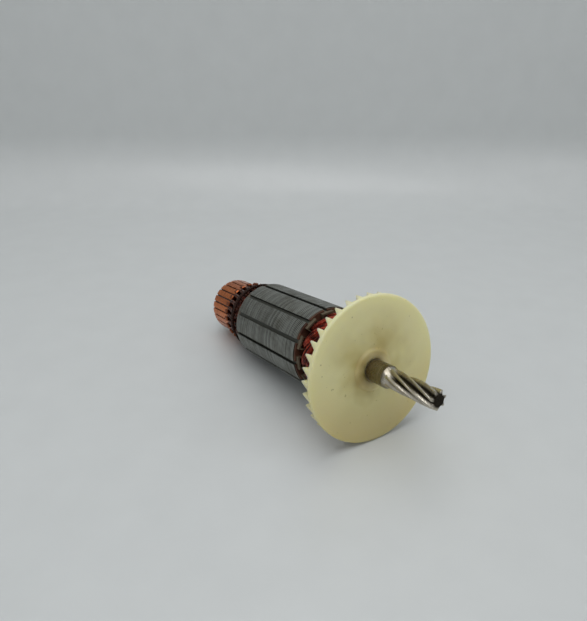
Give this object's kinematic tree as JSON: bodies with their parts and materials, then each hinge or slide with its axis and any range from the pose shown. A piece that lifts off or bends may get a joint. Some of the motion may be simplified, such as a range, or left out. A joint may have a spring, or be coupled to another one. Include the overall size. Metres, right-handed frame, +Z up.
{
  "type": "motor armature",
  "caption": "Wound motor rotor with a slotted laminated core, copper commutator, moulded cooling fan and helical pinion shaft",
  "frame": {"origin": "bottom centre of the bounding box, on the surface that the armature lies on", "axes": "+Z up; the shaft lies in the XZ plane, its pinion end towards +X and raised"},
  "size_m": [0.2162, 0.08, 0.0796],
  "materials": {
    "steel_shaft": "ground and hobbed bare steel",
    "insulation_tube": "moulded phenolic",
    "fan_nylon": "natural moulded nylon, slightly translucent",
    "core_steel": "stacked stamped laminations",
    "fibre": "pressed fibre laminate",
    "slot_paper": "slot insulation paper",
    "wedge_fibre": "dark fibre strip",
    "enamelled_wire": "glossy red enamel and varnish over copper wire",
    "lead_wire": "varnished copper wire",
    "lacing": "varnish-soaked cord",
    "phenolic": "moulded phenolic",
    "copper": "turned bare copper"
  },
  "bodies": {
    "root": {"shaft": "steel_shaft", "shaft_insulation_tube": "insulation_tube", "fan": "fan_nylon", "lamination_stack": "core_steel", "front_end_insulator": "fibre", "rear_end_insulator": "fibre", "slot_liners": "slot_paper", "commutator_hub": "phenolic", "coil_leads": "lead_wire", "lacing_cord": "lacing", "slot_wedge_01": "wedge_fibre", "slot_wedge_02": "wedge_fibre", "slot_wedge_03": "wedge_fibre", "slot_wedge_04": "wedge_fibre", "slot_wedge_05": "wedge_fibre", "slot_wedge_06": "wedge_fibre", "slot_wedge_07": "wedge_fibre", "slot_wedge_08": "wedge_fibre", "slot_wedge_09": "wedge_fibre", "slot_wedge_10": "wedge_fibre", "slot_wedge_11": "wedge_fibre", "slot_wedge_12": "wedge_fibre", "coil_01": "enamelled_wire", "coil_02": "enamelled_wire", "coil_03": "enamelled_wire", "coil_04": "enamelled_wire", "coil_05": "enamelled_wire", "coil_06": "enamelled_wire", "coil_07": "enamelled_wire", "coil_08": "enamelled_wire", "coil_09": "enamelled_wire", "coil_10": "enamelled_wire", "coil_11": "enamelled_wire", "coil_12": "enamelled_wire", "commutator_bar_01": "copper", "commutator_bar_02": "copper", "commutator_bar_03": "copper", "commutator_bar_04": "copper", "commutator_bar_05": "copper", "commutator_bar_06": "copper", "commutator_bar_07": "copper", "commutator_bar_08": "copper", "commutator_bar_09": "copper", "commutator_bar_10": "copper", "commutator_bar_11": "copper", "commutator_bar_12": "copper", "commutator_bar_13": "copper", "commutator_bar_14": "copper", "commutator_bar_15": "copper", "commutator_bar_16": "copper", "commutator_bar_17": "copper", "commutator_bar_18": "copper", "commutator_bar_19": "copper", "commutator_bar_20": "copper", "commutator_bar_21": "copper", "commutator_bar_22": "copper", "commutator_bar_23": "copper", "commutator_bar_24": "copper"}
  },
  "joints": []
}
